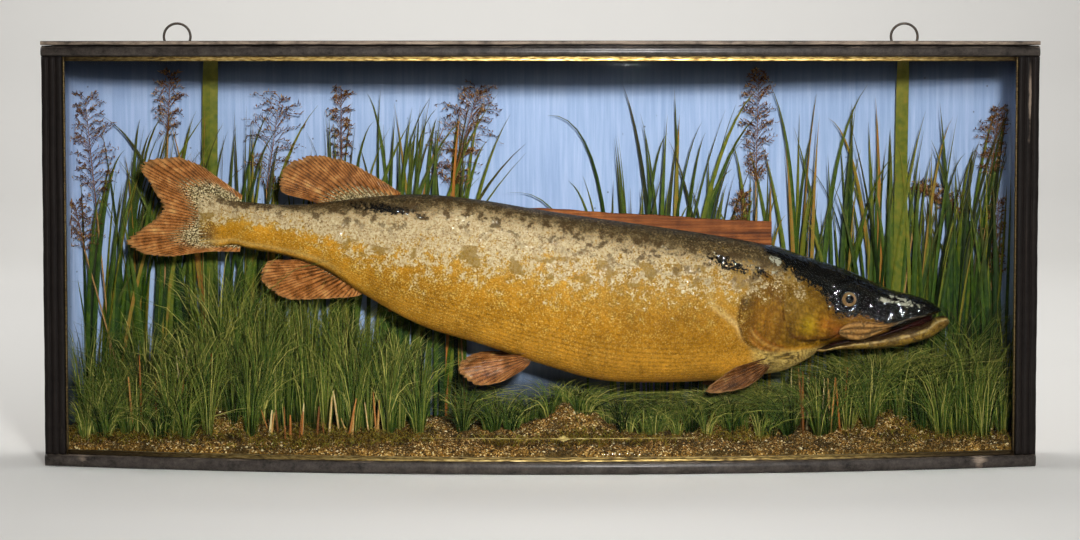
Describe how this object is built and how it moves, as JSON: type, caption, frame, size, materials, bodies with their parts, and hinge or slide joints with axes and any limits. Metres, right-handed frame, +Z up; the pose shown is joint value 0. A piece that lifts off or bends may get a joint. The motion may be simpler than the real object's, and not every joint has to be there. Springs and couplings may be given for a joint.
{
  "type": "mounted pike in glass case",
  "caption": "Taxidermy pike, head to the right, mounted on a board in a bow-front ebonised glass case with painted back, reeds and grasses.",
  "frame": {"origin": "on the foot of the case, under the middle of its bounding box", "axes": "+X along the case towards the fish's snout, -Y out of the bowed glass front, +Z up"},
  "size_m": [1.27, 0.2449, 0.5695],
  "materials": {
    "ebonised_wood": "ebonised, worn satin varnish",
    "painted_board": "matt light blue distemper",
    "gilt": "worn gilding",
    "pane": "clear bent sheet glass",
    "iron_wire": "dark oxidised wire",
    "stained_wood": "red-brown stained board",
    "pine": "plain sawn pine",
    "pike_skin": "painted and varnished fish skin",
    "pike_fin": "painted and varnished fin",
    "glass_eye": "glossy glass eye",
    "groundwork": "sand and gravel on plaster",
    "reed": "dried, painted reed",
    "grass": "dried, painted grass"
  },
  "bodies": {
    "root": {"lid": "ebonised_wood", "case_top": "ebonised_wood", "case_bottom": "ebonised_wood", "case_back": "painted_board", "case_side_left": "ebonised_wood", "case_side_right": "ebonised_wood", "frame_rail_top": "ebonised_wood", "frame_rail_foot": "ebonised_wood", "frame_stile_left": "ebonised_wood", "frame_stile_right": "ebonised_wood", "gilt_slip_top": "gilt", "gilt_slip_foot": "gilt", "gilt_slip_left": "gilt", "gilt_slip_right": "gilt", "glass_front": "pane", "hanging_ring_left": "iron_wire", "hanging_ring_right": "iron_wire", "backing_board": "stained_wood", "batten_1": "pine", "batten_2": "pine", "tail_root": "pike_skin", "trunk_rear": "pike_skin", "trunk_front": "pike_skin", "head": "pike_skin", "lower_jaw": "pike_skin", "gill_cover_left": "pike_skin", "gill_cover_right": "pike_skin", "eye_left": "glass_eye", "eye_right": "glass_eye", "caudal_fin": "pike_fin", "dorsal_fin": "pike_fin", "anal_fin": "pike_fin", "pelvic_fin_left": "pike_fin", "pelvic_fin_right": "pike_fin", "pectoral_fin_left": "pike_fin", "pectoral_fin_right": "pike_fin", "groundwork": "groundwork", "reeds_left": "reed", "reeds_left_inner": "reed", "reeds_middle": "reed", "reeds_right_inner": "reed", "reeds_right_middle": "reed", "reeds_right": "reed", "grass_left": "grass", "grass_right": "grass"}
  },
  "joints": []
}
